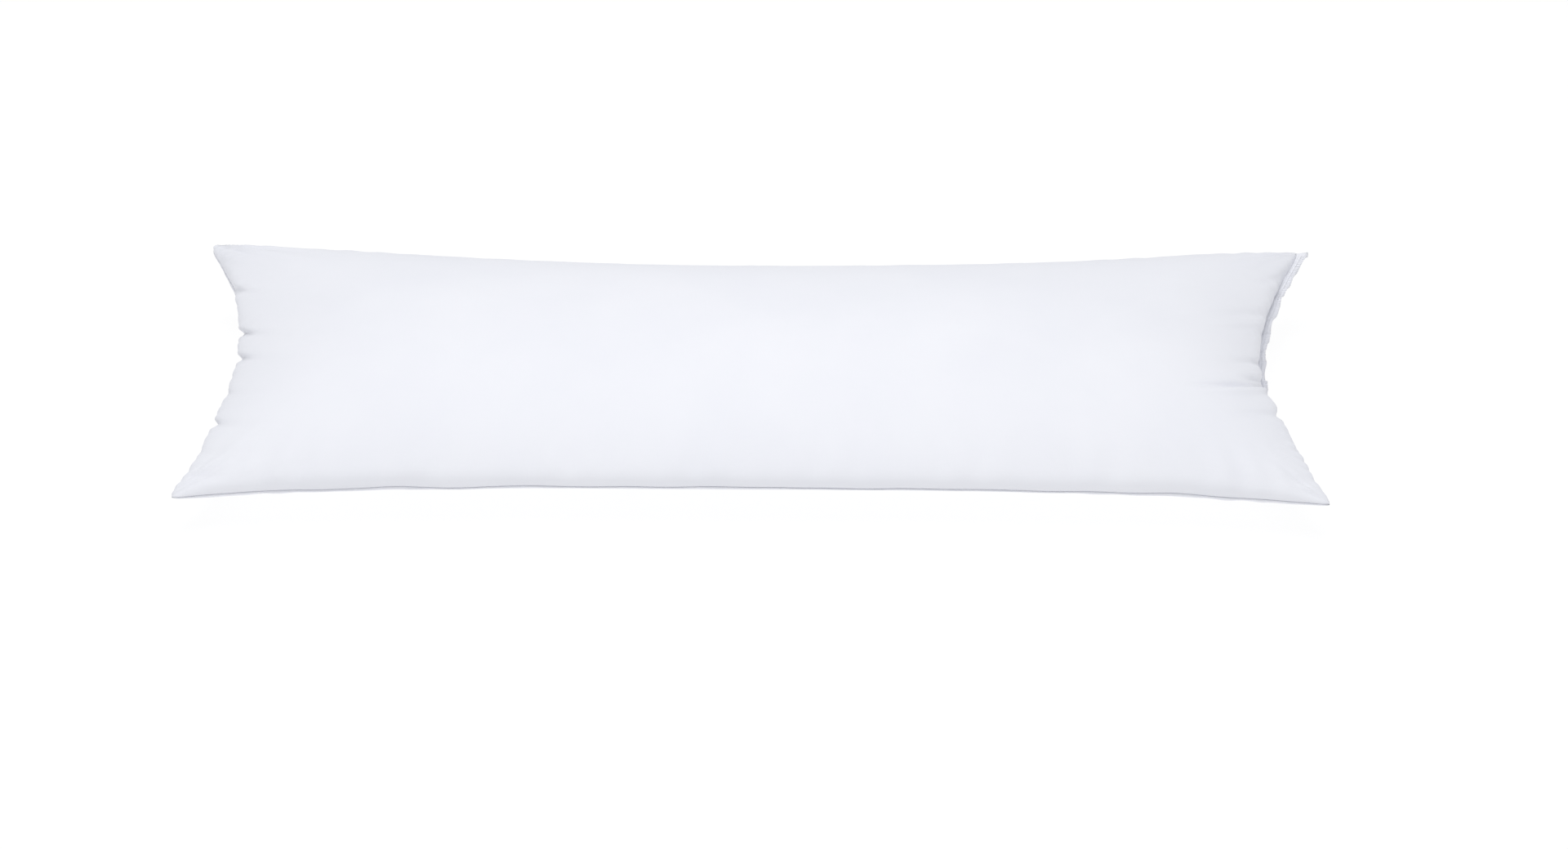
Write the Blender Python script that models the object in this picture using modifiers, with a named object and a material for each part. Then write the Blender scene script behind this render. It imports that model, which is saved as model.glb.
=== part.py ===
"""A long stuffed bed pillow (a body pillow), lying on a flat surface.

Two cut panels of thin woven fabric are sewn together round their edges and stuffed with loose fibre.
The seams are sewn inside out and turned, so their allowances lie inside. An opening is left for the fibre
in the +X end, from the far corner to past the middle. It is closed from outside: its two lips stand out
there, and an overlock stitch wraps their raw edge.
+X runs along the pillow to the closing seam, +Y away from the front, and the pillow rests on Z = 0.
"""

import math

import bmesh
import bpy
from mathutils import Vector

# Sewn size, laid flat and empty, from seam to seam.
FLAT_LENGTH = 1.372
FLAT_WIDTH = 0.508
# Share of each seam's length that its stitches gather up.
TAKE_UP = 0.02

# Filled shape.
FILL_HEIGHT = 0.155
SEAM_HEIGHT = 0.060
NEAR_CORNER_HEIGHT = 0.056
FAR_CORNER_HEIGHT = 0.100
END_DRAW = 0.070
# How far the underside would bulge below the surface it rests on, which is what flattens it.
SETTLE = 0.011
# Exponents of the outline and of the fullness: a higher one keeps the shape full closer to the seam.
END_CURVE = 2.1
SIDE_CURVE = 4.5
RISE_CURVE = 1.6
END_FULLNESS = 8.0

# Fabric, thread and seams.
FABRIC = 0.0004
THREAD = 0.0004
ALLOWANCE = 0.009
LIP = 0.010
OVERLOCK_WIDTH = 0.006
# Length of the stuffing opening, from the far corner along the +X end.
OPENING = 0.315
# Parts that touch on the real pillow keep this gap.
GAP = 0.0003
# Share of a turned seam, from its middle, where the allowance is kept: it is clipped off at the corners.
ALLOWANCE_REACH = 0.86
THREAD_REACH = 0.99
# Length of seam over which it changes from turned in to standing out, where the opening starts.
OPENING_STEP = 0.008

# The fibre stops this far short of a seam allowance, and this far under the upper panel.
FILL_END_GAP = 0.003
FILL_TOP_GAP = 0.003
# Share of the settling that the fibre itself shows.
FILL_SETTLE = 0.35

# Blank care label, caught in the far seam.
LABEL_WIDTH = 0.028
LABEL_DROP = 0.040
LABEL_BEND = 0.008
LABEL_PLACE = 0.42

# Resolution of the modelled surfaces.
COLUMNS = 44
ROWS = 20
FILL_SEGMENTS = 32
FILL_RINGS = 28
END_EASE = 1.8
SIDE_EASE = 2.0
OVERLOCK_FOLDS = 3
LABEL_STEPS = 8


def ellipse_half_width(arc, half_height):
    """Half the width of an ellipse whose upper half measures arc along its curve."""
    low, high = 0.0, arc
    for _ in range(40):
        a, b = (low + high) / 2, half_height
        upper_half = math.pi * (3 * (a + b) - math.sqrt((3 * a + b) * (a + 3 * b))) / 2
        if upper_half < arc:
            low = a
        else:
            high = a
    return low


# Corners stay where the gathered seams put them. Filling draws the middle of each side in.
CORNER_X = FLAT_LENGTH * (1 - TAKE_UP) / 2
CORNER_Y = FLAT_WIDTH * (1 - TAKE_UP) / 2
HALF_WIDTH = ellipse_half_width(FLAT_WIDTH, FILL_HEIGHT / 2)
SIDE_DRAW = CORNER_Y - HALF_WIDTH
CROWN = FILL_HEIGHT - SEAM_HEIGHT - FABRIC
BELLY = SEAM_HEIGHT + SETTLE
OPENING_START = 1 - OPENING / CORNER_Y
# From a seam's middle to the fabric of either panel: half the thread and a gap.
LIP_RISE = THREAD / 2 + GAP
# A turned seam folds its allowance in under the panel, one more fabric away.
FOLD_RISE = LIP_RISE + FABRIC
# The overall box is centred on the origin, so the closing seam's lips move everything a little to -X.
CENTRE_SHIFT = -(LIP + GAP + THREAD - FABRIC) / 2


def eased(u, ease):
    """Spreads even steps from -1 to 1 so that they get finer towards both ends."""
    return math.copysign(1 - (1 - abs(u)) ** ease, u)


def row_stations():
    """Where the panels' rows lie, with one at the opening's start and one just before it."""
    rows = [eased(2 * i / ROWS - 1, SIDE_EASE) for i in range(ROWS + 1)]
    first = min(range(ROWS), key=lambda i: abs(rows[i] - OPENING_START))
    rows[first - 1 : first + 1] = [OPENING_START - OPENING_STEP / CORNER_Y, OPENING_START]
    return rows


COLUMN_STATIONS = [eased(2 * i / COLUMNS - 1, END_EASE) for i in range(COLUMNS + 1)]
ROW_STATIONS = row_stations()


def plan(s, t):
    """Where a point of the pillow lies seen from above. s and t run from -1 to 1 between opposite seams."""
    x = s * (CORNER_X - END_DRAW * (1 - abs(t) ** END_CURVE))
    y = t * (CORNER_Y - SIDE_DRAW * (1 - abs(s) ** SIDE_CURVE))
    return x + CENTRE_SHIFT, y


def seam_height(s, t):
    """Height of the surface that the seams lie in: level round the middle, and lower or higher at corners."""
    corner = NEAR_CORNER_HEIGHT if t < 0 else FAR_CORNER_HEIGHT
    return SEAM_HEIGHT + (corner - SEAM_HEIGHT) * abs(s) ** RISE_CURVE * t * t


def fullness(s, t):
    """How far the filling lifts the fabric off the seam surface: 0 at a seam, 1 in the middle."""
    return math.sqrt(max(0.0, (1 - t * t) * (1 - abs(s) ** END_FULLNESS)))


def fabric_point(s, t, side):
    """A point on the inner face of a panel. side is 1 on the upper panel and -1 on the lower one."""
    x, y = plan(s, t)
    rise = LIP_RISE if s == 1 and t >= OPENING_START else FOLD_RISE
    if side > 0:
        return Vector((x, y, seam_height(s, t) + rise + (CROWN - rise) * fullness(s, t)))
    return Vector((x, y, max(FABRIC, seam_height(s, t) - rise - (BELLY - rise) * fullness(s, t))))


def make_material(name, color, roughness):
    material = bpy.data.materials.new(name)
    material.use_nodes = True
    shader = material.node_tree.nodes["Principled BSDF"]
    shader.inputs["Base Color"].default_value = (*color, 1)
    shader.inputs["Roughness"].default_value = roughness
    shader.inputs["Metallic"].default_value = 0
    return material


def finish_piece(piece, name, material, pillow, collection):
    """Names a piece, gives it its material and hangs it on the pillow's empty."""
    piece.name = name
    piece.data.name = name
    piece.data.materials.append(material)
    piece.parent = pillow
    for owner in list(piece.users_collection):
        owner.objects.unlink(piece)
    collection.objects.link(piece)
    return piece


def add_solidify(piece, thickness):
    """Gives an open surface its thickness on the side that its faces look to."""
    wall = piece.modifiers.new("thickness", "SOLIDIFY")
    wall.thickness = thickness
    wall.offset = 1


def extend_edges(mesh, edges, move):
    """Adds a strip of faces on open edges, with its outer points put where move(point) says."""
    made = bmesh.ops.extrude_edge_only(mesh, edges=edges)["geom"]
    for vertex in (item for item in made if isinstance(item, bmesh.types.BMVert)):
        vertex.co = move(vertex.co)


def station(stations, place):
    """The station of a grid vertex, from its place between -1 and 1 along the grid."""
    return stations[round((place + 1) / 2 * (len(stations) - 1))]


def make_panel(side):
    """One fabric panel: its domed face, the allowances turned in at its seams, and the closing lip."""
    bpy.ops.mesh.primitive_grid_add(x_subdivisions=COLUMNS, y_subdivisions=ROWS, size=2)
    sheet = bpy.context.object
    mesh = bmesh.new()
    mesh.from_mesh(sheet.data)
    spots = {}
    for vertex in mesh.verts:
        s = station(COLUMN_STATIONS, vertex.co.x)
        t = station(ROW_STATIONS, vertex.co.y)
        spots[vertex] = (s, t)
        vertex.co = fabric_point(s, t, side)

    def rim(inside):
        edges = [edge for edge in mesh.edges if edge.is_boundary]
        return [edge for edge in edges if all(v in spots and inside(*spots[v]) for v in edge.verts)]

    near = rim(lambda s, t: t == -1 and abs(s) < ALLOWANCE_REACH)
    far = rim(lambda s, t: t == 1 and abs(s) < ALLOWANCE_REACH)
    left = rim(lambda s, t: s == -1 and abs(t) < ALLOWANCE_REACH)
    right = rim(lambda s, t: s == 1 and -ALLOWANCE_REACH < t < OPENING_START)
    opening = rim(lambda s, t: s == 1 and t >= OPENING_START)
    extend_edges(mesh, near, lambda point: point + Vector((0, ALLOWANCE, 0)))
    extend_edges(mesh, far, lambda point: point - Vector((0, ALLOWANCE, 0)))
    extend_edges(mesh, left, lambda point: point + Vector((ALLOWANCE, 0, 0)))
    extend_edges(mesh, right, lambda point: point - Vector((ALLOWANCE, 0, 0)))
    extend_edges(mesh, opening, lambda point: point + Vector((LIP, 0, 0)))
    if side < 0:
        bmesh.ops.reverse_faces(mesh, faces=mesh.faces)
    mesh.to_mesh(sheet.data)
    mesh.free()
    sheet.data.shade_smooth()
    add_solidify(sheet, FABRIC)
    return sheet


def make_fibre_fill():
    """The stuffing: a plump bolster with rounded ends, flat where it rests on the lower panel."""
    bpy.ops.mesh.primitive_uv_sphere_add(segments=FILL_SEGMENTS, ring_count=FILL_RINGS, radius=1)
    fill = bpy.context.object
    setback = ALLOWANCE + FABRIC + FILL_END_GAP
    half_length = CORNER_X - END_DRAW - setback
    half_width = HALF_WIDTH - setback
    crown = CROWN - FILL_TOP_GAP
    belly = SEAM_HEIGHT + SETTLE * FILL_SETTLE
    for vertex in fill.data.vertices:
        across, upward, along = vertex.co
        x = half_length * math.copysign(abs(along) ** (2 / END_FULLNESS), along)
        z = SEAM_HEIGHT + upward * (crown if upward > 0 else belly)
        vertex.co = (x + CENTRE_SHIFT, across * half_width, max(z, FABRIC + GAP))
    mesh = bmesh.new()
    mesh.from_mesh(fill.data)
    bmesh.ops.recalc_face_normals(mesh, faces=mesh.faces)
    mesh.to_mesh(fill.data)
    mesh.free()
    fill.data.shade_smooth()
    return fill


def make_thread(points):
    """One seam's stitching, as the line of thread that holds the two panels together."""
    data = bpy.data.curves.new("thread", "CURVE")
    data.dimensions = "3D"
    data.bevel_depth = THREAD / 2
    data.bevel_resolution = 2
    data.use_fill_caps = True
    line = data.splines.new("POLY")
    line.points.add(len(points) - 1)
    for knot, point in zip(line.points, points):
        knot.co = (*point, 1)
    thread = bpy.data.objects.new("thread", data)
    bpy.context.scene.collection.objects.link(thread)
    return thread


def seam_point(s, t):
    x, y = plan(s, t)
    return Vector((x, y, seam_height(s, t)))


def long_seam(t):
    """Points along a long side's seam, at the panels' own stations, short of the corners."""
    return [seam_point(max(-THREAD_REACH, min(THREAD_REACH, s)), t) for s in COLUMN_STATIONS]


def end_seam(s, start=-THREAD_REACH, stop=THREAD_REACH):
    """Points along an end's seam, or along a part of it."""
    inner = [t for t in ROW_STATIONS if start < t < stop]
    return [seam_point(s, t) for t in (start, *inner, stop)]


def make_overlock():
    """The overlock stitching: a band of thread that wraps the raw edges of the two closing lips."""
    rows = [t for t in ROW_STATIONS if t >= OPENING_START]
    bpy.ops.mesh.primitive_grid_add(x_subdivisions=OVERLOCK_FOLDS, y_subdivisions=len(rows) - 1, size=2)
    band = bpy.context.object
    rise = LIP_RISE + FABRIC + GAP
    for vertex in band.data.vertices:
        across, along = vertex.co.xy
        reach = LIP - OVERLOCK_WIDTH if abs(across) == 1 else LIP + GAP
        middle = seam_point(1, station(rows, along))
        vertex.co = middle + Vector((reach, 0, math.copysign(rise, -across)))
    band.data.shade_smooth()
    add_solidify(band, THREAD)
    return band


def make_care_label():
    """A blank woven label that leaves the far seam and hangs down behind the pillow."""
    bpy.ops.mesh.primitive_grid_add(x_subdivisions=1, y_subdivisions=LABEL_STEPS, size=2)
    label = bpy.context.object
    root = seam_point(LABEL_PLACE, 1)
    start = FABRIC + THREAD / 2 + GAP
    bend_length = LABEL_BEND * math.pi / 2
    for vertex in label.data.vertices:
        run = (vertex.co.y + 1) / 2 * (bend_length + LABEL_DROP)
        angle = min(run, bend_length) / LABEL_BEND
        out = LABEL_BEND * math.sin(angle)
        drop = LABEL_BEND * (1 - math.cos(angle)) + max(0.0, run - bend_length)
        vertex.co = root + Vector((vertex.co.x * LABEL_WIDTH / 2, start + out, -drop))
    add_solidify(label, FABRIC)
    return label


def clear_scene():
    for item in list(bpy.data.objects):
        bpy.data.objects.remove(item)


def main():
    clear_scene()
    collection = bpy.data.collections.new("bed_pillow")
    bpy.context.scene.collection.children.link(collection)
    pillow = bpy.data.objects.new("bed_pillow", None)
    collection.objects.link(pillow)

    ticking = make_material("ticking", (0.86, 0.87, 0.91), 0.85)
    fibre = make_material("polyester_fibre", (0.93, 0.93, 0.94), 1.0)
    cotton = make_material("sewing_thread", (0.90, 0.90, 0.93), 0.7)
    satin = make_material("label_satin", (0.92, 0.92, 0.92), 0.5)

    turned_stop = max(t for t in ROW_STATIONS if t < OPENING_START)
    pieces = [
        (make_panel(1), "top_panel", ticking),
        (make_panel(-1), "bottom_panel", ticking),
        (make_fibre_fill(), "fibre_fill", fibre),
        (make_thread(long_seam(-1)), "near_seam_thread", cotton),
        (make_thread(long_seam(1)), "far_seam_thread", cotton),
        (make_thread(end_seam(-1)), "left_seam_thread", cotton),
        (make_thread(end_seam(1, stop=turned_stop)), "right_seam_thread", cotton),
        (make_thread(end_seam(1, start=OPENING_START)), "closing_seam_thread", cotton),
        (make_overlock(), "closing_overlock", cotton),
        (make_care_label(), "care_label", satin),
    ]
    for piece, name, material in pieces:
        finish_piece(piece, name, material, pillow, collection)


main()
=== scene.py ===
import math

import bmesh
import bpy
import numpy as np
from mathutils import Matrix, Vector, noise


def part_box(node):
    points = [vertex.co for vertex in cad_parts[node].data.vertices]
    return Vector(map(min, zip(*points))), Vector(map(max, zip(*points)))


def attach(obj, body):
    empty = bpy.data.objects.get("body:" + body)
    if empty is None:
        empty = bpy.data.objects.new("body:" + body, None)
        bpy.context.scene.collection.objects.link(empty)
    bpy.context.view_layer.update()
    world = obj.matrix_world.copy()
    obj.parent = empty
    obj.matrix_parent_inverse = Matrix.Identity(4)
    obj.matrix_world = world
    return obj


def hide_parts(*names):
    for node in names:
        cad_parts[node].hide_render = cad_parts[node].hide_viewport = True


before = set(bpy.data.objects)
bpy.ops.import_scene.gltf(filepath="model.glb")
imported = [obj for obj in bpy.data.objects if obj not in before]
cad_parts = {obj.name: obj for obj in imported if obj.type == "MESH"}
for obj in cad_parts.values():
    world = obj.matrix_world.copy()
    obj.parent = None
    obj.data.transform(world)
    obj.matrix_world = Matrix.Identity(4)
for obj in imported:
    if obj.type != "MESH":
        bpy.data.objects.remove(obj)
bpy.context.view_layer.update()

bpy.ops.object.select_all(action="DESELECT")
scene = bpy.context.scene


# ---------------------------------------------------------------------------------------------------
# The shell
# Two rectangles of fine plain-woven cotton, sewn together round their edges, turned, and stuffed hard.
# Stuffing draws the sides in between the corners, and the seams gather the cloth into small puckers.

CUT_LENGTH = 1.372
CUT_WIDTH = 0.508
# Points nearer to each other than this are the same point.
SAME_POINT = 0.00001
# The cloth's resolution, finer towards the seams.
COLUMNS = 120
ROWS = 96
TOWARDS_SEAM = 1.35
# How the outline and the fullness run between the corners.
END_CURVE = 2.1
SIDE_CURVE = 4.5
RISE_CURVE = 2.1
END_FULLNESS = 8.0
BELLY = 0.011

panel_low, panel_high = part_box("top_panel")
left_low, left_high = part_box("left_seam_thread")
near_low, near_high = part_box("near_seam_thread")
closing_low, closing_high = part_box("closing_seam_thread")
SEAM_HEIGHT = near_high.z
OPENING_START = closing_low.y / panel_high.y


def spread(u):
    """Even steps from -1 to 1, drawn closer together towards both ends."""
    return np.sign(u) * (1 - (1 - np.abs(u)) ** TOWARDS_SEAM)


def seam_level(s, t):
    """The height of the surface that the seams lie in. The far corners lift a little."""
    corner_z = np.where(t < 0, near_low.z, left_high.z)
    return SEAM_HEIGHT + (corner_z - SEAM_HEIGHT) * np.abs(s) ** RISE_CURVE * t * t


def stuffed(s, t, side):
    """Where a point of the stuffed cloth lies. s and t run from -1 to 1 between the seams."""
    corner_x = np.where(s < 0, -panel_low.x, closing_high.x)
    middle_x = np.where(s < 0, -left_high.x, closing_low.x)
    x = s * (corner_x - (corner_x - middle_x) * (1 - np.abs(t) ** END_CURVE))
    y = t * (panel_high.y - (panel_high.y + near_high.y) * (1 - np.abs(s) ** SIDE_CURVE))
    seam_z = seam_level(s, t)
    full = np.sqrt(np.clip((1 - t * t) * (1 - np.abs(s) ** END_FULLNESS), 0, None))
    if side > 0:
        z = seam_z + (panel_high.z - SEAM_HEIGHT) * full
    else:
        z = np.maximum(seam_z - (SEAM_HEIGHT + BELLY) * full, 0.001)
    return np.stack([x, y, z], -1)


def read(data, name, width, count):
    values = np.zeros(count * width, np.float32)
    data.foreach_get(name, values)
    return values.reshape(count, width).astype(float)


def points_of(mesh):
    return read(mesh.vertices, "co", 3, len(mesh.vertices))


def normals_of(mesh):
    return read(mesh.vertices, "normal", 3, len(mesh.vertices))


def move_to(mesh, points):
    mesh.vertices.foreach_set("co", points.astype(np.float32).ravel())
    mesh.update()


def cut_of(mesh):
    """Each vertex's place on the flat cut cloth, in metres, read from the piece's own UV map."""
    corner = np.zeros(len(mesh.loops), np.int32)
    mesh.loops.foreach_get("vertex_index", corner)
    cut = np.zeros((len(mesh.vertices), 2))
    cut[corner] = read(mesh.uv_layers["cut"].data, "uv", 2, len(mesh.loops))
    return cut


def write_cut(mesh, cut):
    corner = np.zeros(len(mesh.loops), np.int32)
    mesh.loops.foreach_get("vertex_index", corner)
    mesh.uv_layers["cut"].data.foreach_set("uv", cut[corner].astype(np.float32).ravel())


def flag(items, name, values):
    items.foreach_set(name, values.astype(bool))


def cloth_panel(side):
    bpy.ops.mesh.primitive_grid_add(x_subdivisions=COLUMNS, y_subdivisions=ROWS, size=2)
    panel = bpy.context.object
    mesh = panel.data
    s, t = spread(points_of(mesh)[:, :2]).T
    mesh.uv_layers[0].name = "cut"
    write_cut(mesh, np.stack([s * CUT_LENGTH / 2, t * CUT_WIDTH / 2], -1))
    move_to(mesh, stuffed(s, t, side))
    if side < 0:
        mesh.flip_normals()
    mark = mesh.attributes.new("upper", "BOOLEAN", "FACE")
    flag(mark.data, "value", np.full(len(mesh.polygons), side > 0))
    return panel


shell = cloth_panel(1)
underside = cloth_panel(-1)
shell.select_set(True)
underside.select_set(True)
bpy.context.view_layer.objects.active = shell
bpy.ops.object.join()
shell.name = "shell"
sewn = bmesh.new()
sewn.from_mesh(shell.data)
bmesh.ops.remove_doubles(sewn, verts=[v for v in sewn.verts if v.is_boundary], dist=SAME_POINT)
sewn.to_mesh(shell.data)
sewn.free()


def across_seams(cut):
    """The distance on the cloth to the nearer end seam and to the nearer long seam."""
    return CUT_LENGTH / 2 - np.abs(cut[:, 0]), CUT_WIDTH / 2 - np.abs(cut[:, 1])


# How far the puckers and creases at the ends lean back, for each unit of height.
LEAN = 1.5
# Where the end seams gather the cloth into the deeper puckers, as shares of the half width, and
# how deep each one is.
LEFT_PUCKERS = (
    (0.90, 0.8), (0.72, 1.0), (0.39, 1.3), (0.18, 1.2),
    (-0.12, 0.5), (-0.38, 1.2), (-0.60, 0.7), (-0.79, 0.6),
)
RIGHT_PUCKERS = (
    (0.84, 0.9), (0.58, 0.8), (0.44, 0.7), (0.20, 1.0), (0.03, 0.8),
    (-0.07, 1.1), (-0.26, 1.1), (-0.52, 0.6), (-0.76, 0.7),
)


def leaning(cut, points):
    """The place across the pillow, measured in planes that lean back from the seams at both faces."""
    level = seam_level(cut[:, 0] * 2 / CUT_LENGTH, cut[:, 1] * 2 / CUT_WIDTH)
    return points[:, 1] + LEAN * np.abs(points[:, 2] - level)


def puckers(cut, points, narrow, widen, reach):
    """How deep the cloth dips along the puckers that run in from the end seams."""
    depth = np.zeros(len(cut))
    across = leaning(cut, points)
    for end, places in ((-1, LEFT_PUCKERS), (1, RIGHT_PUCKERS)):
        inward = CUT_LENGTH / 2 - end * cut[:, 0]
        for place, strength in places:
            offset = (across - place * CUT_WIDTH / 2) / (narrow + widen * np.minimum(inward, 0.3))
            depth += strength * np.exp(-offset ** 2 - inward / reach)
    return depth


# How deep the puckers are before the cloth settles, and how many steps it is given to settle.
START_PUCKER = 0.0015
SETTLING_STEPS = 20


def simulate_stuffing():
    """Lets the cloth relax over the stuffing, with its seams held where they are sewn."""
    mesh = shell.data
    cut = cut_of(mesh)
    to_end, to_side = across_seams(cut)
    on_seam = (to_end < SAME_POINT) | (to_side < SAME_POINT)
    start = points_of(mesh)
    dips = START_PUCKER * puckers(cut, start, 0.006, 0.08, 0.05)
    start -= normals_of(mesh) * (dips * ~on_seam)[:, None]
    # The seams take up some of the cloth's length, so beside them there is more cloth than seam.
    relaxed = np.zeros((len(cut), 3))
    relaxed[:, 0] = cut[:, 0] * 0.986 * (1 + 0.02 * np.exp(-to_side / 0.03))
    relaxed[:, 1] = cut[:, 1] * (1 + 0.06 * np.exp(-to_end / 0.05))
    move_to(mesh, start)
    shell.shape_key_add(name="stuffed")
    flat = shell.shape_key_add(name="flat")
    flat.data.foreach_set("co", relaxed.astype(np.float32).ravel())
    seams = shell.vertex_groups.new(name="seams")
    seams.add(np.nonzero(on_seam)[0].tolist(), 1.0, "REPLACE")
    cloth = shell.modifiers.new("cloth", "CLOTH")
    settings = cloth.settings
    settings.quality = 6
    settings.mass = 0.15
    settings.air_damping = 2.0
    settings.tension_stiffness = settings.compression_stiffness = 60
    settings.shear_stiffness = 20
    settings.bending_stiffness = 0.2
    settings.use_pressure = True
    settings.uniform_pressure_force = 3.0
    settings.effector_weights.gravity = 0.1
    settings.vertex_group_mass = "seams"
    settings.rest_shape_key = flat
    cloth.collision_settings.distance_min = 0.002
    cloth.collision_settings.use_self_collision = False
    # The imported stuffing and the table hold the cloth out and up.
    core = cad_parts["fibre_fill"].copy()
    core.data = core.data.copy()
    scene.collection.objects.link(core)
    whole = bmesh.new()
    whole.from_mesh(core.data)
    bmesh.ops.remove_doubles(whole, verts=whole.verts, dist=SAME_POINT)
    whole.to_mesh(core.data)
    whole.free()
    bpy.ops.mesh.primitive_plane_add(size=4, location=(0, 0, -0.001))
    table = bpy.context.object
    for solid in (core, table):
        solid.modifiers.new("solid", "COLLISION")
        solid.collision.thickness_outer = 0.001
    for step in range(1, SETTLING_STEPS + 1):
        scene.frame_set(step)
    seen = shell.evaluated_get(bpy.context.evaluated_depsgraph_get())
    settled = points_of(seen.data)
    shell.modifiers.remove(cloth)
    shell.shape_key_clear()
    scene.frame_set(1)
    for solid in (core, table):
        bpy.data.objects.remove(solid)
    move_to(mesh, settled)


simulate_stuffing()

fine = shell.modifiers.new("fine", "SUBSURF")
fine.levels = fine.render_levels = 1
fine.uv_smooth = "NONE"
bpy.ops.object.select_all(action="DESELECT")
shell.select_set(True)
bpy.context.view_layer.objects.active = shell
bpy.ops.object.modifier_apply(modifier="fine")


def hump(distance, peak):
    """Rises from 0 at a seam to 1 at peak, then dies away."""
    return distance / peak * np.exp(1 - distance / peak)


# Creases that run in from the closed end, each in a plane that leans: its place along the end as a
# share of the half width, its length, depth and half width.
CREASES = (
    (0.00, 0.140, 0.0085, 0.0050),
    (0.055, 0.060, 0.0046, 0.0050),
    (0.21, 0.065, 0.0020, 0.0060),
    (0.49, 0.080, 0.0022, 0.0070),
    (0.61, 0.095, 0.0022, 0.0080),
    (-0.23, 0.095, 0.0022, 0.0070),
    (-0.45, 0.060, 0.0014, 0.0070),
)
# Soft folds that fan out from a corner: which corner, angle from its long seam in degrees, from where
# to where, and depth.
FOLDS = (
    (-1, 1, 12, 0.015, 0.18, 0.0042), (-1, 1, 27, 0.020, 0.16, 0.0038),
    (-1, 1, 47, 0.030, 0.09, 0.0018),
    (-1, -1, 16, 0.020, 0.10, 0.0018), (-1, -1, 32, 0.030, 0.12, 0.0018),
    (-1, -1, 52, 0.020, 0.07, 0.0012),
    (1, 1, 18, 0.020, 0.12, 0.0018), (1, 1, 38, 0.020, 0.10, 0.0022),
    (1, -1, 14, 0.020, 0.10, 0.0016), (1, -1, 35, 0.020, 0.09, 0.0014),
)
# How far the stuffing pushes the cloth out past the end seams, and how far from them it is furthest out.
LEFT_BULGE = 0.020
RIGHT_BULGE = 0.009
BULGE_AT = 0.020
# Beside each seam the cloth rolls over, and the seam itself lies in a valley: the height of the roll,
# how far from the seam it is highest, the depth of the valley and its width.
END_ROLL, END_ROLL_AT, END_VALLEY, END_VALLEY_WIDTH = 0.0020, 0.007, 0.0020, 0.0030
LONG_ROLL, LONG_ROLL_AT, LONG_VALLEY, LONG_VALLEY_WIDTH = 0.0016, 0.009, 0.0012, 0.0028
# The depths of the small gathers: at the ends, and along the near and the far seam.
END_GATHER, NEAR_GATHER, FAR_GATHER = 0.0010, 0.0018, 0.0010
# How far from a corner the valleys and the wander of the seams have died away.
CORNER_REACH = 0.02
EAR_REACH = 0.06
# The fall of the underside for each unit of distance from the long seams.
UNDER_SLOPE = 0.56
# The cloth's middle is never lower over the table than this.
LOWEST = 0.0003


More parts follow.
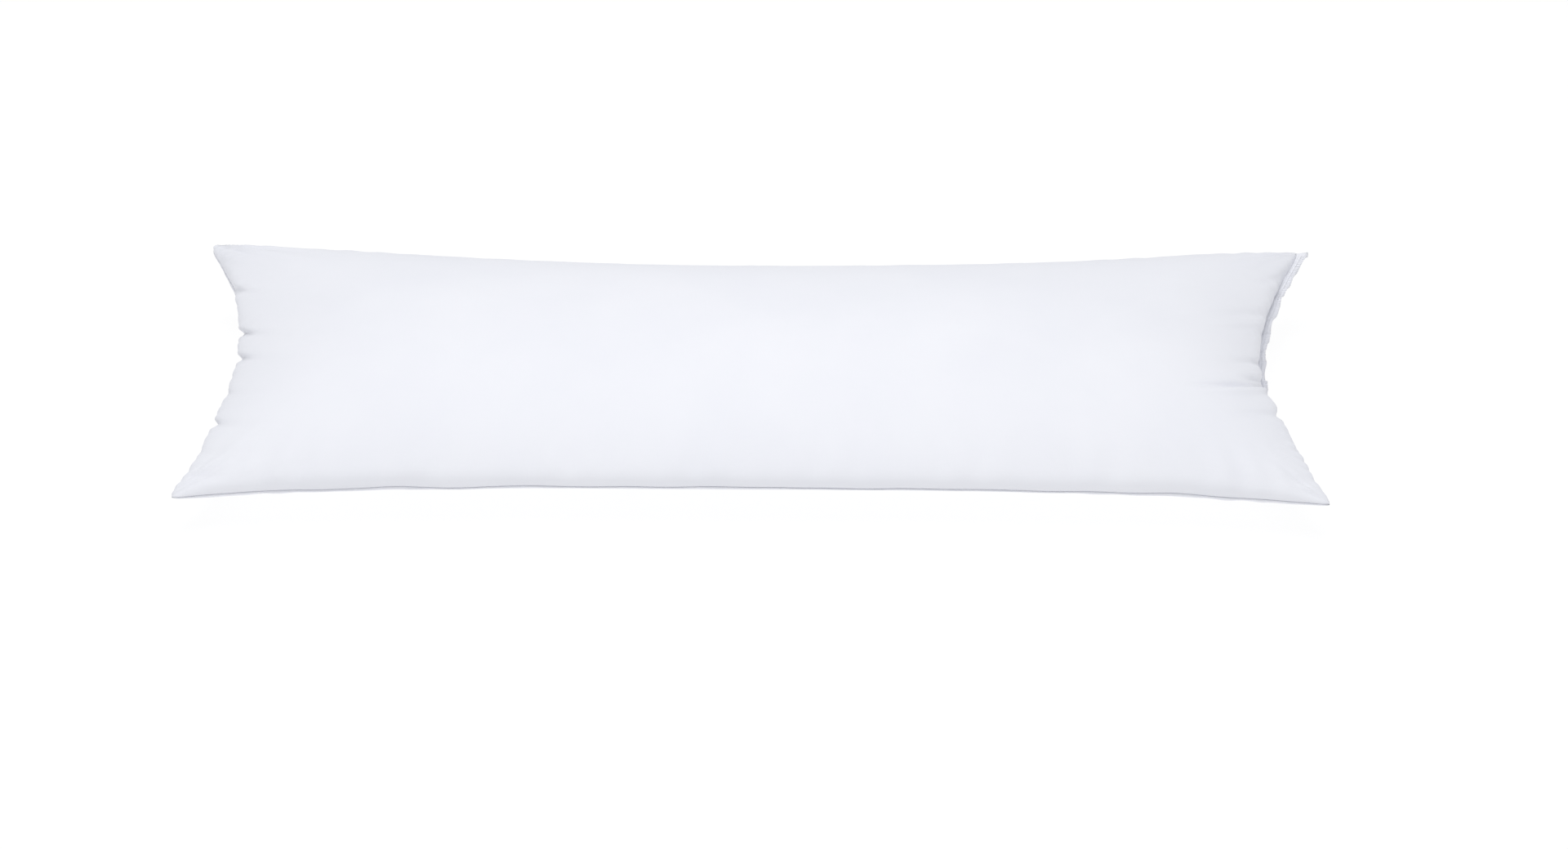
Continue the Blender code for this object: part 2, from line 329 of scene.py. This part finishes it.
def gather_seams():
    """Sinks the seams into a valley between the panels, with the gathers that the stitches leave."""
    mesh = shell.data
    cut = cut_of(mesh)
    points = points_of(mesh)
    to_end, to_side = across_seams(cut)
    from_corner = 1 - np.exp(-np.maximum(to_end, to_side) / CORNER_REACH)
    # In the ears at the corners the two panels lie flat together, with no valley between them.
    from_ear = 1 - np.exp(-(np.maximum(to_end, to_side) / EAR_REACH) ** 2)
    ahead = np.sign(cut[:, 0])
    aside = np.sign(cut[:, 1])
    # The stuffing bulges out past the end seams, in lobes between the deeper puckers.
    notch = np.clip(puckers(cut, points, 0.0055, 0.07, 0.05), 0, 1)
    level = seam_level(cut[:, 0] * 2 / CUT_LENGTH, cut[:, 1] * 2 / CUT_WIDTH)
    above = 1 / (1 + np.exp(np.clip((level - points[:, 2]) / 0.003, -30, 30)))
    lobes = 1 - (np.abs(cut[:, 1]) * 2 / CUT_WIDTH) ** np.where(ahead < 0, 2.5, 6)
    # Closing the stuffing opening takes in a little more cloth than the turned seams do.
    closed = 1 / (1 + np.exp(-(cut[:, 1] / (CUT_WIDTH / 2) - OPENING_START) / 0.012)) * (ahead > 0)
    bulge = np.where(ahead < 0, LEFT_BULGE, RIGHT_BULGE * (1 - 0.6 * closed))
    out_of_end = bulge * hump(to_end, BULGE_AT) * lobes * (1 - 0.42 * notch) * (1.4 * above - 0.4)
    out_of_end += END_ROLL * hump(to_end, END_ROLL_AT) * (1 - notch)
    end_valley = END_VALLEY * np.exp(-to_end / END_VALLEY_WIDTH)
    out_of_end -= end_valley * (1 + 0.4 * notch) * (1 - closed)
    out_of_side = LONG_ROLL * hump(to_side, LONG_ROLL_AT)
    out_of_side -= LONG_VALLEY * np.exp(-to_side / LONG_VALLEY_WIDTH)
    points[:, 0] += ahead * out_of_end * from_ear
    points[:, 1] += aside * out_of_side * from_ear
    # The gathers are smaller and closer together towards the corners.
    along_end = 1 - np.clip(to_side * 2 / CUT_WIDTH, 0, 1) ** (1 / TOWARDS_SEAM)
    along_side = 1 - np.clip(to_end * 2 / CUT_LENGTH, 0, 1) ** (1 / TOWARDS_SEAM)
    end_wave = np.cos(90 * along_end + 2.1 * np.sin(9 * along_end + aside + 2 * ahead) + ahead)
    side_wave = np.cos(95 * along_side + 2.6 * np.sin(7 * along_side + aside) + 3 * ahead)
    uneven_end = 0.65 + 0.35 * np.sin(11 * cut[:, 1] / CUT_WIDTH * math.pi + 2 * ahead)
    uneven_side = 0.55 + 0.45 * np.sin(17 * cut[:, 0] / CUT_LENGTH * math.pi + 2 * aside)
    rise = END_GATHER * uneven_end * end_wave * hump(to_end, END_ROLL_AT)
    side_gather = np.where(aside < 0, NEAR_GATHER, FAR_GATHER)
    rise += side_gather * from_ear * uneven_side * side_wave * hump(to_side, 0.012)
    points[:, 0] -= 0.003 * closed * np.exp(-to_end / 0.02)
    across = leaning(cut, points)
    inward = CUT_LENGTH / 2 - cut[:, 0]
    for place, length, depth, half_width in CREASES:
        offset = (across - place * CUT_WIDTH / 2) / half_width
        fade = np.clip((length - inward) / (0.6 * length), 0, 1) ** 1.5 * (1 - np.exp(-inward / 0.008))
        rise -= depth * fade * (np.exp(-offset ** 2) - 0.5 * np.exp(-(offset / 2 + 1.2) ** 2))
    for end, edge, angle, first, last, depth in FOLDS:
        from_end = CUT_LENGTH / 2 - end * cut[:, 0]
        from_edge = CUT_WIDTH / 2 - edge * cut[:, 1]
        away = np.hypot(from_end, from_edge)
        offset = (np.degrees(np.arctan2(from_edge, from_end)) - angle) / 5.5
        fade = np.clip((away - 0.3 * first) / first, 0, 1)
        fade = fade * np.clip((last - away) / (0.7 * last), 0, 1) ** 1.5
        rise -= depth * fade * (np.exp(-offset ** 2) - 0.6 * np.exp(-(offset - 1.8) ** 2))
    # The long seams wander a little, and the stuffing is not quite even.
    wander = np.array([[noise.noise(Vector((x * 13, y * 4, k))) for k in (3, 8)] for x, y in cut])
    points[:, 1:] += 0.0022 * wander * np.exp(-to_side / 0.03)[:, None] * from_corner[:, None]
    rise += 0.0012 * np.array([noise.noise(Vector((x * 5, y * 12, z * 12))) for x, y, z in points])
    points += normals_of(mesh) * rise[:, None]
    # Below the long seams the cloth slopes straight in to the table. Little stuffing reaches there.
    slope = level - 0.002 - UNDER_SLOPE * to_side
    points[:, 2] += 0.0015 * np.log1p(np.exp((slope - points[:, 2]) / 0.0015))
    # A corner can't be turned to a sharp point.
    blunt = 0.007 * np.clip(1 - (to_end + to_side) / 0.022, 0, 1) ** 2
    points[:, 0] -= ahead * blunt
    points[:, 1] -= aside * blunt * 0.6
    points[:, 2] = np.maximum(points[:, 2], LOWEST)
    move_to(mesh, points)


gather_seams()

# Each seam: the axis it lies across, its side, its places along the cut cloth, and its points.
seams = {}
for name, axis, sign in (("near", 1, -1), ("far", 1, 1), ("left", 0, -1), ("right", 0, 1)):
    cut = cut_of(shell.data)
    on_it = np.nonzero(sign * cut[:, axis] > (CUT_LENGTH, CUT_WIDTH)[axis] / 2 - SAME_POINT)[0]
    on_it = on_it[np.argsort(cut[on_it, 1 - axis])]
    seams[name] = (axis, sign, cut[on_it, 1 - axis], points_of(shell.data)[on_it])


def along_seam(name, places):
    """Points on a seam, at these places along the cut cloth."""
    known, points = seams[name][2:]
    return np.stack([np.interp(places, known, points[:, i]) for i in range(3)], -1)


def out_from(name, places):
    """The level direction straight out from a seam, at these places along the cut cloth."""
    axis, sign = seams[name][:2]
    run = along_seam(name, places + 0.004) - along_seam(name, places - 0.004)
    turn = sign if axis == 0 else -sign
    out = np.stack([run[:, 1] * turn, -run[:, 0] * turn, 0 * run[:, 2]], -1)
    return out / np.linalg.norm(out, axis=1)[:, None]


def out_at(cut):
    """The level direction straight out from the nearest seam, halfway between the two at a corner."""
    total = np.zeros((len(cut), 3))
    for name, (axis, sign, known, points) in seams.items():
        distance = np.abs((CUT_LENGTH, CUT_WIDTH)[axis] / 2 - sign * cut[:, axis])
        total += out_from(name, cut[:, 1 - axis]) * np.exp(-distance / 0.004)[:, None]
    return total / np.linalg.norm(total, axis=1)[:, None]


# How far the cloth's middle lies above or below the seam line: on the fold, inside, and at the lips.
FABRIC = 0.0004
FOLD_RISE = 0.0010
INSIDE_RISE = 0.0003
LIP_RISE = 0.0005
ALLOWANCE = 0.009
LIP = 0.010
OPENING = OPENING_START * CUT_WIDTH / 2


def on_opening(cut):
    return (cut[:, 0] > CUT_LENGTH / 2 - SAME_POINT) & (cut[:, 1] > OPENING)


def closing_lip(places, reach):
    """Points midway between the closing lips, reach out from the seam. Their raw edge ruffles."""
    turn = places * 2 * math.pi
    wave = np.sin(turn / 0.021 + 1.3 * np.sin(turn / 0.09)) + 0.6 * np.sin(turn / 0.034 + 1)
    longer = 1 + 0.12 * np.sin(turn / 0.052 + 2) + 0.5 * np.exp((places - CUT_WIDTH / 2) / 0.02)
    points = along_seam("right", places) + out_from("right", places) * (reach * longer)[:, None]
    points[:, 2] += 0.0019 * (reach / LIP) ** 1.3 * wave + 0.0022 * reach / LIP
    return points


def select_rim(mesh, wanted):
    """Selects the open edges whose two ends are wanted, a test on the place on the cut cloth."""
    edge_of = np.zeros(len(mesh.loops), np.int32)
    mesh.loops.foreach_get("edge_index", edge_of)
    ends = np.zeros(len(mesh.edges) * 2, np.int32)
    mesh.edges.foreach_get("vertices", ends)
    ends = ends.reshape(-1, 2)
    chosen = (np.bincount(edge_of, minlength=len(ends)) == 1) & wanted(cut_of(mesh))[ends].all(1)
    on_rim = np.zeros(len(mesh.vertices), bool)
    on_rim[ends[chosen]] = True
    flag(mesh.polygons, "select", np.zeros(len(mesh.polygons)))
    flag(mesh.edges, "select", chosen)
    flag(mesh.vertices, "select", on_rim)


def draw_on(panel, place):
    """Extrudes the selected rim, and puts each new point where place says."""
    bpy.context.view_layer.objects.active = panel
    bpy.ops.object.mode_set(mode="EDIT")
    bpy.ops.mesh.extrude_region_move()
    bpy.ops.object.mode_set(mode="OBJECT")
    mesh = panel.data
    fresh = np.zeros(len(mesh.vertices), bool)
    mesh.vertices.foreach_get("select", fresh)
    cut = cut_of(mesh)
    points = points_of(mesh)
    cut[fresh], points[fresh] = place(cut[fresh], points[fresh])
    write_cut(mesh, cut)
    move_to(mesh, points)


def hem(panel, side):
    """Turns a panel's seam allowances in, runs its closing lip out, and thickens the cloth."""
    mesh = panel.data
    cut = cut_of(mesh)
    points = points_of(mesh)
    to_end, to_side = across_seams(cut)
    rise = np.where(on_opening(cut), LIP_RISE, FOLD_RISE)
    points[:, 2] += side * rise * (np.minimum(to_end, to_side) < SAME_POINT)
    move_to(mesh, points)

    def turned_in(length, drop):
        def place(cut, points):
            out = out_at(cut)
            to_end, to_side = across_seams(cut)
            clipped = length * np.clip(np.maximum(to_end, to_side) / 0.03, 0.1, 1)
            points = points - out * clipped[:, None]
            points[:, 2] -= side * drop
            return cut + out[:, :2] * clipped[:, None], points
        return place

    select_rim(mesh, lambda cut: ~on_opening(cut) | (cut[:, 1] < OPENING + 0.004))
    draw_on(panel, turned_in(0.0008, FOLD_RISE - INSIDE_RISE))
    draw_on(panel, turned_in(ALLOWANCE, 0))
    select_rim(mesh, on_opening)
    for reach in (0.0012, 0.0035, 0.0065, LIP):
        def place(cut, points):
            seen = closing_lip(cut[:, 1], np.full(len(cut), reach))
            seen[:, 2] += side * LIP_RISE
            return np.stack([np.full(len(cut), CUT_LENGTH / 2 + reach), cut[:, 1]], -1), seen
        draw_on(panel, place)
    cloth = panel.modifiers.new("thickness", "SOLIDIFY")
    cloth.thickness = FABRIC
    cloth.offset = -1
    bpy.ops.object.modifier_apply(modifier="thickness")
    panel.data.shade_smooth()


def weave_group():
    """A plain weave: each yarn passes over one and under the next, and is a little thicker in places."""
    group = bpy.data.node_groups.new("plain_weave", "ShaderNodeTree")
    for name, kind, way in (
        ("Place", "NodeSocketVector", "INPUT"), ("Yarn", "NodeSocketFloat", "INPUT"),
        ("Slub", "NodeSocketFloat", "INPUT"), ("Height", "NodeSocketFloat", "OUTPUT"),
        ("Thickness", "NodeSocketFloat", "OUTPUT"),
    ):
        group.interface.new_socket(name, in_out=way, socket_type=kind)
    add = group.nodes.new
    link = group.links.new
    given = add("NodeGroupInput")
    result = add("NodeGroupOutput")

    def maths(operation, first, second=None):
        node = add("ShaderNodeMath")
        node.operation = operation
        for socket, value in zip(node.inputs, (first, second)):
            if isinstance(value, (int, float)):
                socket.default_value = value
            elif value is not None:
                link(value, socket)
        return node.outputs[0]

    apart = add("ShaderNodeSeparateXYZ")
    link(given.outputs["Place"], apart.inputs[0])
    turn = maths("DIVIDE", math.pi, given.outputs["Yarn"])
    across = maths("SINE", maths("MULTIPLY", apart.outputs["X"], turn))
    along = maths("SINE", maths("MULTIPLY", apart.outputs["Y"], turn))
    slub = None
    for stretch in ((1, 0.03, 1), (0.03, 1, 1)):
        lay = add("ShaderNodeVectorMath")
        lay.operation = "MULTIPLY"
        lay.inputs[1].default_value = stretch
        link(given.outputs["Place"], lay.inputs[0])
        noise = add("ShaderNodeTexNoise")
        noise.inputs["Scale"].default_value = 900
        noise.inputs["Detail"].default_value = 2
        link(lay.outputs[0], noise.inputs["Vector"])
        slub = noise.outputs["Fac"] if slub is None else maths("ADD", slub, noise.outputs["Fac"])
    bump = maths("ABSOLUTE", maths("MULTIPLY", across, along))
    thickness = maths("MULTIPLY", maths("SUBTRACT", slub, 1.0), given.outputs["Slub"])
    link(maths("ADD", bump, thickness), result.inputs["Height"])
    link(maths("ADD", thickness, 0.5), result.inputs["Thickness"])
    return group


plain_weave = weave_group()


def mix_colours(nodes, links, factor, first, second):
    blend = nodes.new("ShaderNodeMix")
    blend.data_type = "RGBA"
    links.new(factor, blend.inputs["Factor"])
    blend.inputs["A"].default_value = (*first, 1)
    blend.inputs["B"].default_value = (*second, 1)
    return blend.outputs["Result"]


def woven(name, dark, light, yarn, slub, depth, rough, sheen):
    """A woven finish on a piece's own cut map, in metres, with faint patches of tone."""
    material = bpy.data.materials.new(name)
    material.use_nodes = True
    nodes, links = material.node_tree.nodes, material.node_tree.links
    shader = nodes["Principled BSDF"]
    shader.inputs["Sheen Weight"].default_value = sheen
    shader.inputs["Sheen Roughness"].default_value = 0.5
    shader.inputs["Specular IOR Level"].default_value = 0.25
    place = nodes.new("ShaderNodeUVMap")
    place.uv_map = "cut"
    weave = nodes.new("ShaderNodeGroup")
    weave.node_tree = plain_weave
    weave.inputs["Yarn"].default_value = yarn
    weave.inputs["Slub"].default_value = slub
    links.new(place.outputs[0], weave.inputs["Place"])
    patches = nodes.new("ShaderNodeTexNoise")
    patches.inputs["Scale"].default_value = 6
    patches.inputs["Detail"].default_value = 3
    links.new(place.outputs[0], patches.inputs["Vector"])
    tone = nodes.new("ShaderNodeMath")
    tone.operation = "MULTIPLY_ADD"
    tone.inputs[1].default_value = 0.35
    links.new(weave.outputs["Thickness"], tone.inputs[0])
    links.new(patches.outputs["Fac"], tone.inputs[2])
    links.new(mix_colours(nodes, links, tone.outputs[0], dark, light), shader.inputs["Base Color"])
    dull = nodes.new("ShaderNodeMapRange")
    dull.inputs["To Min"].default_value = rough + 0.06
    dull.inputs["To Max"].default_value = rough - 0.04
    links.new(weave.outputs["Height"], dull.inputs["Value"])
    links.new(dull.outputs[0], shader.inputs["Roughness"])
    bump = nodes.new("ShaderNodeBump")
    bump.inputs["Strength"].default_value = 0.5
    bump.inputs["Distance"].default_value = depth
    links.new(weave.outputs["Height"], bump.inputs["Height"])
    links.new(bump.outputs[0], shader.inputs["Normal"])
    return material


ticking = woven(
    "white_cotton_ticking", dark=(0.802, 0.813, 0.872), light=(0.868, 0.873, 0.918),
    yarn=0.0004, slub=0.5, depth=0.00006, rough=0.86, sheen=0.12,
)
shell.data.materials.append(ticking)
# The shell comes apart at its seams into its two panels.
upper = np.zeros(len(shell.data.polygons), bool)
shell.data.attributes["upper"].data.foreach_get("value", upper)
shell.data.attributes.remove(shell.data.attributes["upper"])
flag(shell.data.polygons, "select", ~upper)
bpy.context.tool_settings.mesh_select_mode = (False, False, True)
bpy.ops.object.mode_set(mode="EDIT")
bpy.ops.mesh.separate(type="SELECTED")
bpy.ops.object.mode_set(mode="OBJECT")
top = shell
bottom = next(piece for piece in bpy.context.selected_objects if piece != shell)
bpy.ops.object.select_all(action="DESELECT")
bpy.context.tool_settings.mesh_select_mode = (False, True, False)
for panel, side, node in ((top, 1, "top_panel"), (bottom, -1, "bottom_panel")):
    panel.name = node.replace("_panel", "_cotton_panel")
    hem(panel, side)
    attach(panel, "root")
    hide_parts(node)


# ---------------------------------------------------------------------------------------------------
# The stuffing
# Blown polyester fibre, which fills the shell as one soft mass and stays a little lumpy.
# It is packed in through the open end before that is sewn shut.

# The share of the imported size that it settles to.
STUFFING_SHARE = (0.978, 0.975)

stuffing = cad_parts["fibre_fill"].copy()
stuffing.data = stuffing.data.copy()
stuffing.name = "stuffing"
scene.collection.objects.link(stuffing)
bpy.context.view_layer.objects.active = stuffing
stuffing.select_set(True)
bpy.ops.object.mode_set(mode="EDIT")
bpy.ops.mesh.select_all(action="SELECT")
bpy.ops.mesh.remove_doubles(threshold=SAME_POINT)
bpy.ops.mesh.tris_convert_to_quads()
bpy.ops.object.mode_set(mode="OBJECT")
smoother = stuffing.modifiers.new("smoother", "SUBSURF")
smoother.subdivision_type = "SIMPLE"
smoother.levels = smoother.render_levels = 3
bpy.ops.object.modifier_apply(modifier="smoother")
points = points_of(stuffing.data)
lumps = np.array([
    noise.noise(Vector(point) * 14) + 0.5 * noise.noise(Vector(point) * 45) for point in points
])
# The lumps only sink in, so that the stuffing never pushes through the cotton.
points -= normals_of(stuffing.data) * (0.0045 * (0.8 + lumps).clip(0, 2))[:, None]
points[:, :2] *= STUFFING_SHARE
# Under the long seams it follows the slope of the cloth, a few millimetres inside.
lengthwise = points[:, 0] / panel_high.x
crosswise = points[:, 1] / panel_high.y
seam_y = panel_high.y - (panel_high.y + near_high.y) * (1 - np.abs(lengthwise) ** SIDE_CURVE)
lowest = seam_level(lengthwise, crosswise) + 0.004 - 1.16 * UNDER_SLOPE * (seam_y - np.abs(points[:, 1]))
points[:, 2] = np.maximum(points[:, 2], np.maximum(lowest, 0.002))
move_to(stuffing.data, points)
stuffing.data.shade_smooth()

polyester = bpy.data.materials.new("white_polyester_fibre")
polyester.use_nodes = True
nodes, links = polyester.node_tree.nodes, polyester.node_tree.links
shader = nodes["Principled BSDF"]
shader.inputs["Sheen Weight"].default_value = 0.4
shader.inputs["Specular IOR Level"].default_value = 0.3
place = nodes.new("ShaderNodeTexCoord")
tangle = nodes.new("ShaderNodeTexNoise")
tangle.inputs["Scale"].default_value = 260
tangle.inputs["Detail"].default_value = 6
tangle.inputs["Distortion"].default_value = 3.5
tufts = nodes.new("ShaderNodeTexVoronoi")
tufts.inputs["Scale"].default_value = 70
for texture in (tangle, tufts):
    links.new(place.outputs["Object"], texture.inputs["Vector"])
fluff = nodes.new("ShaderNodeMath")
fluff.operation = "MULTIPLY"
links.new(tangle.outputs["Fac"], fluff.inputs[0])
links.new(tufts.outputs["Distance"], fluff.inputs[1])
fibre_colour = mix_colours(nodes, links, tangle.outputs["Fac"], (0.74, 0.75, 0.78), (0.9, 0.9, 0.92))
links.new(fibre_colour, shader.inputs["Base Color"])
dull = nodes.new("ShaderNodeMapRange")
dull.inputs["To Min"].default_value = 0.7
links.new(tangle.outputs["Fac"], dull.inputs["Value"])
links.new(dull.outputs[0], shader.inputs["Roughness"])
bump = nodes.new("ShaderNodeBump")
bump.inputs["Distance"].default_value = 0.002
links.new(fluff.outputs[0], bump.inputs["Height"])
links.new(bump.outputs[0], shader.inputs["Normal"])
stuffing.data.materials.clear()
stuffing.data.materials.append(polyester)
bpy.ops.object.select_all(action="DESELECT")
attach(stuffing, "root")
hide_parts("fibre_fill")


# ---------------------------------------------------------------------------------------------------
# The turned seams
# White polyester thread in a lockstitch, sewn with the panels inside out. Once they are turned, it
# shows only as short bars of thread across the valley between them.

STITCH = 0.0028
THREAD = 0.0004

thread_finish = bpy.data.materials.new("white_polyester_thread")
thread_finish.use_nodes = True
nodes, links = thread_finish.node_tree.nodes, thread_finish.node_tree.links
shader = nodes["Principled BSDF"]
shader.inputs["Sheen Weight"].default_value = 0.2
place = nodes.new("ShaderNodeTexCoord")
ply = nodes.new("ShaderNodeTexWave")
ply.bands_direction = "DIAGONAL"
ply.inputs["Scale"].default_value = 900
ply.inputs["Distortion"].default_value = 1.5
links.new(place.outputs["Object"], ply.inputs["Vector"])
thread_colour = mix_colours(nodes, links, ply.outputs["Fac"], (0.76, 0.77, 0.82), (0.9, 0.9, 0.93))
links.new(thread_colour, shader.inputs["Base Color"])
gloss = nodes.new("ShaderNodeMapRange")
gloss.inputs["To Min"].default_value = 0.6
gloss.inputs["To Max"].default_value = 0.42
links.new(ply.outputs["Fac"], gloss.inputs["Value"])
links.new(gloss.outputs[0], shader.inputs["Roughness"])
bump = nodes.new("ShaderNodeBump")
bump.inputs["Distance"].default_value = 0.00008
links.new(ply.outputs["Fac"], bump.inputs["Height"])
links.new(bump.outputs[0], shader.inputs["Normal"])


def sew(name, node, runs):
    """One piece of thread along these runs of points."""
    curve = bpy.data.curves.new(name, "CURVE")
    curve.dimensions = "3D"
    curve.bevel_depth = THREAD / 2
    curve.bevel_resolution = 1
    curve.use_fill_caps = True
    for run in runs:
        line = curve.splines.new("POLY")
        line.points.add(len(run) - 1)
        line.points.foreach_set("co", np.c_[run, np.ones(len(run))].astype(np.float32).ravel())
    thread = bpy.data.objects.new(name, curve)
    scene.collection.objects.link(thread)
    thread.select_set(True)
    bpy.context.view_layer.objects.active = thread
    bpy.ops.object.convert(target="MESH")
    thread = bpy.context.object
    thread.data.shade_smooth()
    thread.data.materials.append(thread_finish)
    bpy.ops.object.select_all(action="DESELECT")
    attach(thread, "root")
    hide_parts(node)
    return thread


def stitch_places(first, last, points_each):
    """Places along a seam, with how far through its stitch each one is, as a whole number."""
    count = int((last - first) / STITCH) * points_each
    return np.linspace(first, last, count, endpoint=False), np.arange(count) % points_each


for name in seams:
    limit = (CUT_WIDTH if name in ("left", "right") else CUT_LENGTH) / 2 - 0.006
    places, step = stitch_places(-limit, OPENING - 0.002 if name == "right" else limit, 4)
    run = along_seam(name, places) + out_from(name, places) * 0.0004
    run[:, 2] += np.array([0.0, 0.0008, 0.0, -0.0008])[step]
    run += out_from(name, places) * (0.0003 * (step % 2))[:, None]
    sew(name + "_seam_stitches", name + "_seam_thread", [run])


# ---------------------------------------------------------------------------------------------------
# The closing seam
# After stuffing, the last of the right end is sewn shut from outside by a straight lockstitch
# through both lips, close to the stuffing. It stays in view on both faces.

SEW_LINE = 0.0022


def on_lips(places, reach, side):
    """Points on the outer face of the upper or lower lip."""
    points = closing_lip(places, reach)
    points[:, 2] += side * (LIP_RISE + THREAD * 0.4)
    return points


limit = CUT_WIDTH / 2 - 0.004
places, step = stitch_places(OPENING, limit, 5)
runs = []
for side in (1, -1):
    run = on_lips(places, SEW_LINE + 0.0001 * np.sin(places * 900), side)
    # Between two stitches the thread dips into the hole that it shares with the one on the other face.
    run[:, 2] -= side * np.where(step == 0, LIP_RISE + THREAD * 0.4, 0)
    runs.append(run)
sew("closing_stitches", "closing_seam_thread", runs)


# ---------------------------------------------------------------------------------------------------
# The overlocked edge
# The raw edges of both lips are bound together by an overlock stitch: loops of thread that run from
# a needle line, over the edge, and back along the other face.

NEEDLE_LINE = 0.0050

places, step = stitch_places(OPENING + 0.001, limit, 8)
forward = np.array([0.0, 0.2, 0.4, 0.5, 0.5, 0.5, 0.6, 0.8])[step] * STITCH
past_edge = [LIP + 0.0003, LIP + 0.0004, LIP + 0.0003]
reach = np.array([NEEDLE_LINE, 0.0068, 0.0088, *past_edge, 0.0088, 0.0068])[step]
face = np.array([1, 1, 1, 0.6, 0, -0.6, -1, -1])[step]
started = places - step * STITCH / 8
run = closing_lip(started + forward, reach)
run[:, 2] += face * (LIP_RISE + THREAD * 0.5)
# The needle thread lies along both faces and holds the loops.
needle_places = stitch_places(OPENING + 0.001, limit, 4)[0]
needle = []
for side in (1, -1):
    line = on_lips(needle_places, NEEDLE_LINE + 0.0002 * np.sin(needle_places * 1200), side)
    line[:, 2] += side * THREAD * 0.5
    needle.append(line)
sew("overlock_stitches", "closing_overlock", [run] + needle)


# ---------------------------------------------------------------------------------------------------
# The label
# A blank care label of white satin ribbon, folded in half and caught in the far seam, where it hangs
# behind the pillow. Its two layers lie together.

LABEL_WIDTH = 0.028
LABEL_DROP = 0.040
LABEL_BEND = 0.008
LABEL_THICKNESS = 0.0003

label_low, label_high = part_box("care_label")
label_place = (label_low.x + label_high.x) / 2 / panel_high.x * CUT_LENGTH / 2
bpy.ops.mesh.primitive_grid_add(x_subdivisions=14, y_subdivisions=24, size=1)
label = bpy.context.object
label.name = "satin_label"
across, down = points_of(label.data)[:, :2].T
down = 0.5 - down
label.data.uv_layers[0].name = "cut"
write_cut(label.data, np.stack([across * LABEL_WIDTH, -down * LABEL_DROP], -1))
root_point = along_seam("far", np.array([label_place]))[0]
out = out_from("far", np.array([label_place]))[0]
# The ribbon leaves the seam level, bends down over a small radius, and hangs free, a little curled.
bend_length = LABEL_BEND * math.pi / 2
run = down * (bend_length + LABEL_DROP)
angle = np.minimum(run, bend_length) / LABEL_BEND
free = np.maximum(0, run - bend_length)
points = root_point + out * (0.0009 + LABEL_BEND * np.sin(angle) + 0.0016 * np.sin(free * 60))[:, None]
points[:, 0] += across * LABEL_WIDTH + 0.0015 * down * down
points[:, 1] += 0.0022 * free / LABEL_DROP * np.cos(across * math.pi)
points[:, 2] -= LABEL_BEND * (1 - np.cos(angle)) + free
move_to(label.data, points)
ribbon = label.modifiers.new("two layers", "SOLIDIFY")
ribbon.thickness = 2 * LABEL_THICKNESS
ribbon.offset = 0
bpy.ops.object.modifier_apply(modifier="two layers")
folded = label.modifiers.new("folded edges", "BEVEL")
folded.width = 0.0001
folded.segments = 2
bpy.ops.object.modifier_apply(modifier="folded edges")
bpy.ops.object.shade_smooth_by_angle(angle=math.radians(40))
label.data.materials.append(woven(
    "white_satin", dark=(0.82, 0.82, 0.83), light=(0.9, 0.9, 0.9),
    yarn=0.0002, slub=0.2, depth=0.00002, rough=0.34, sheen=0.05,
))
bpy.ops.object.select_all(action="DESELECT")
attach(label, "root")
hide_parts("care_label")


# ---------------------------------------------------------------------------------------------------
# The studio
# A white floor, a bright even surround, and a large soft light overhead.

bpy.ops.mesh.primitive_plane_add(size=40)
floor = bpy.context.object
floor.name = "floor"
white = bpy.data.materials.new("white_floor")
white.use_nodes = True
shader = white.node_tree.nodes["Principled BSDF"]
shader.inputs["Base Color"].default_value = (0.15, 0.15, 0.15, 1)
shader.inputs["Roughness"].default_value = 1
shader.inputs["Specular IOR Level"].default_value = 0
shader.inputs["Emission Color"].default_value = (1, 1, 1, 1)
shader.inputs["Emission Strength"].default_value = 0.88
floor.data.materials.append(white)

scene.world = bpy.data.worlds.new("surround")
scene.world.use_nodes = True
surround = scene.world.node_tree.nodes["Background"]
surround.inputs["Color"].default_value = (0.965, 0.98, 1, 1)
surround.inputs["Strength"].default_value = 0.64
scene.view_settings.view_transform = "Standard"

bpy.ops.object.light_add(type="AREA", location=(-0.1, -0.4, 2.4))
light = bpy.context.object
light.data.size = 1.8
light.data.energy = 29
light.data.color = (1, 0.993, 0.975)
light.rotation_euler = (Vector((0, 0, 0.1)) - light.location).to_track_quat("-Z", "Y").to_euler()

# The camera stands in front of the near side, and looks down on the middle of the pillow.
LOOK_AT = Vector((0, 0, 0.08))
ELEVATION = math.radians(32)
TURN = math.radians(0.7)
DISTANCE = 5.99
bpy.ops.object.camera_add()
camera = bpy.context.object
level = Vector((math.sin(TURN), -math.cos(TURN), 0)) * math.cos(ELEVATION)
camera.location = LOOK_AT + DISTANCE * (level + Vector((0, 0, math.sin(ELEVATION))))
camera.rotation_euler = (math.pi / 2 - ELEVATION, 0, TURN)
camera.data.lens = 116
camera.data.shift_x = 0.0167
camera.data.shift_y = -0.0347
scene.camera = camera
bpy.context.view_layer.update()
